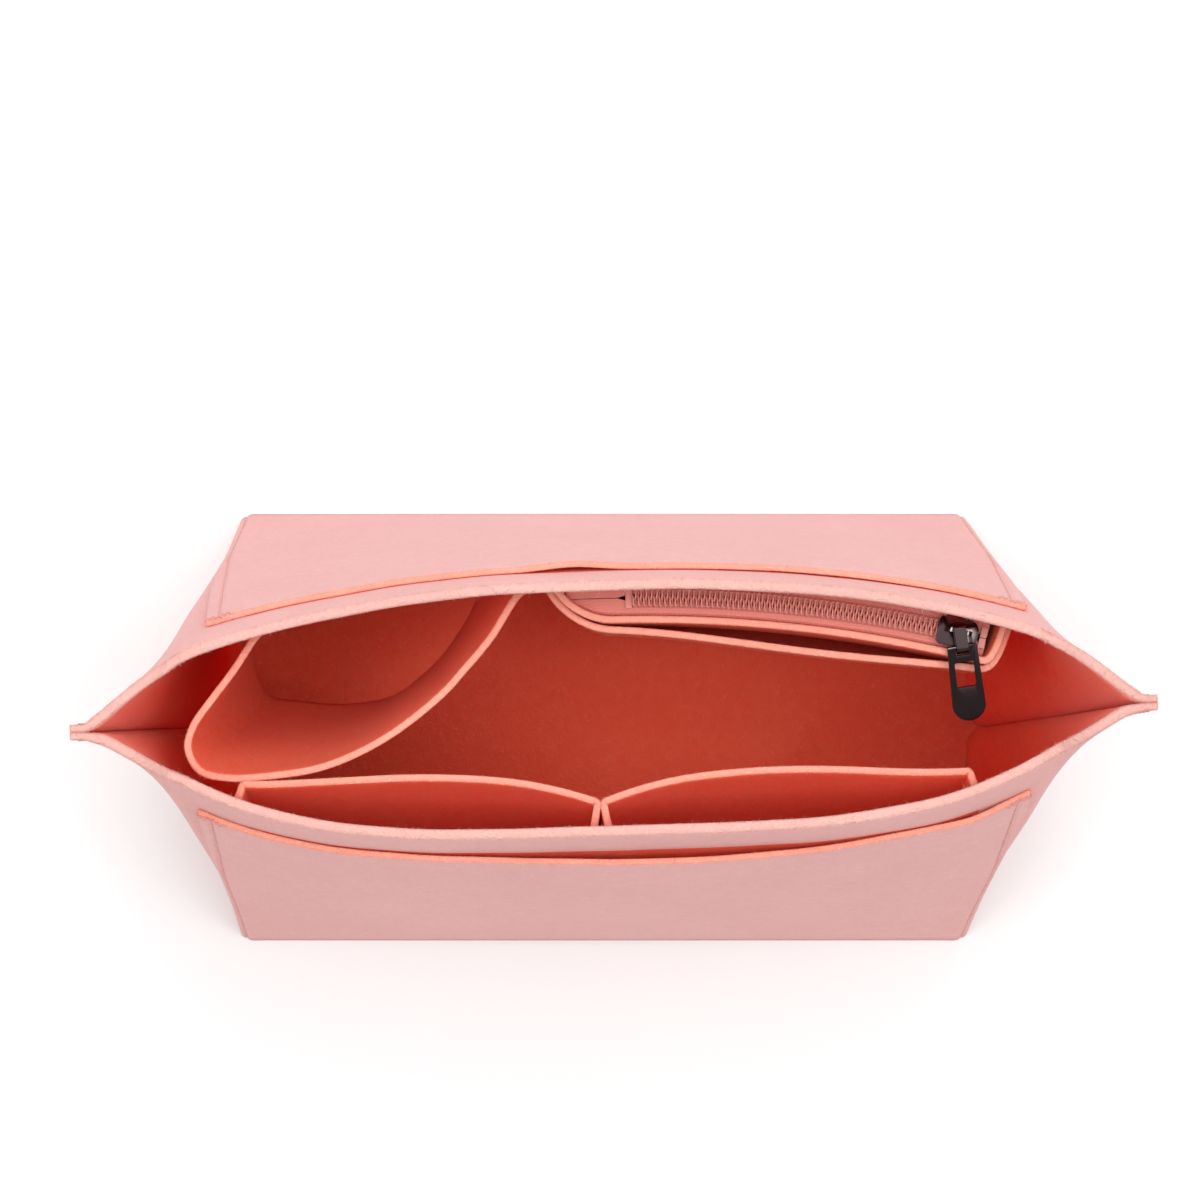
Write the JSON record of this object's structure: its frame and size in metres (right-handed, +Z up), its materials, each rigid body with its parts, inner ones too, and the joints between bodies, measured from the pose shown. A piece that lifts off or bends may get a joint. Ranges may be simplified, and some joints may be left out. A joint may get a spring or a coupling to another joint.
{
  "type": "purse organizer insert",
  "caption": "Free-standing felt insert with a leaning mouth, inner and outer pockets, a bottle loop and a zipped pocket.",
  "frame": {"origin": "middle of the base's underside", "axes": "+Z up through the mouth, +X along the length to the zip slider's end, front is -Y"},
  "size_m": [0.3012, 0.1426, 0.153],
  "materials": {
    "shell_felt": "matte",
    "pocket_felt": "matte",
    "zip_tape": "matte",
    "zip_teeth": "satin",
    "dark_metal": "polished black nickel"
  },
  "bodies": {
    "shell": {"base_panel": "shell_felt", "front_wall": "shell_felt", "back_wall": "shell_felt", "front_outer_pocket": "shell_felt", "back_outer_pocket": "shell_felt", "inner_pocket_left": "pocket_felt", "inner_pocket_right": "pocket_felt", "bottle_holder": "pocket_felt", "zip_pocket_front": "pocket_felt", "slip_pocket": "pocket_felt", "zipper_tape_back": "zip_tape", "zipper_tape_front": "zip_tape", "zipper_coil_back": "zip_teeth", "zipper_coil_front": "zip_teeth", "top_stop_back": "dark_metal", "top_stop_front": "dark_metal", "bottom_stop": "dark_metal"},
    "slider": {"slider_body": "dark_metal"},
    "link": {"pull_link": "dark_metal"},
    "tab": {"pull_tab": "dark_metal"}
  },
  "joints": [
    {"name": "zip_slide", "type": "hinge", "parent": "shell", "child": "slider", "pos_m": [0.00912, -0.37074, 0.13], "axis": [0, 0, 1], "range_deg": [0, 12.3], "deforming": ["zipper_coil_back", "zipper_coil_front"]},
    {"name": "link_swing", "type": "hinge", "parent": "slider", "child": "link", "pos_m": [0.0981, 0.02471, 0.1369], "axis": [-0.9756, 0.2195, 0], "range_deg": [0, 45]},
    {"name": "tab_swing", "type": "hinge", "parent": "link", "child": "tab", "pos_m": [0.09885, 0.02019, 0.13653], "axis": [-0.9865, -0.1606, -0.0326], "range_deg": [0, 68]}
  ]
}
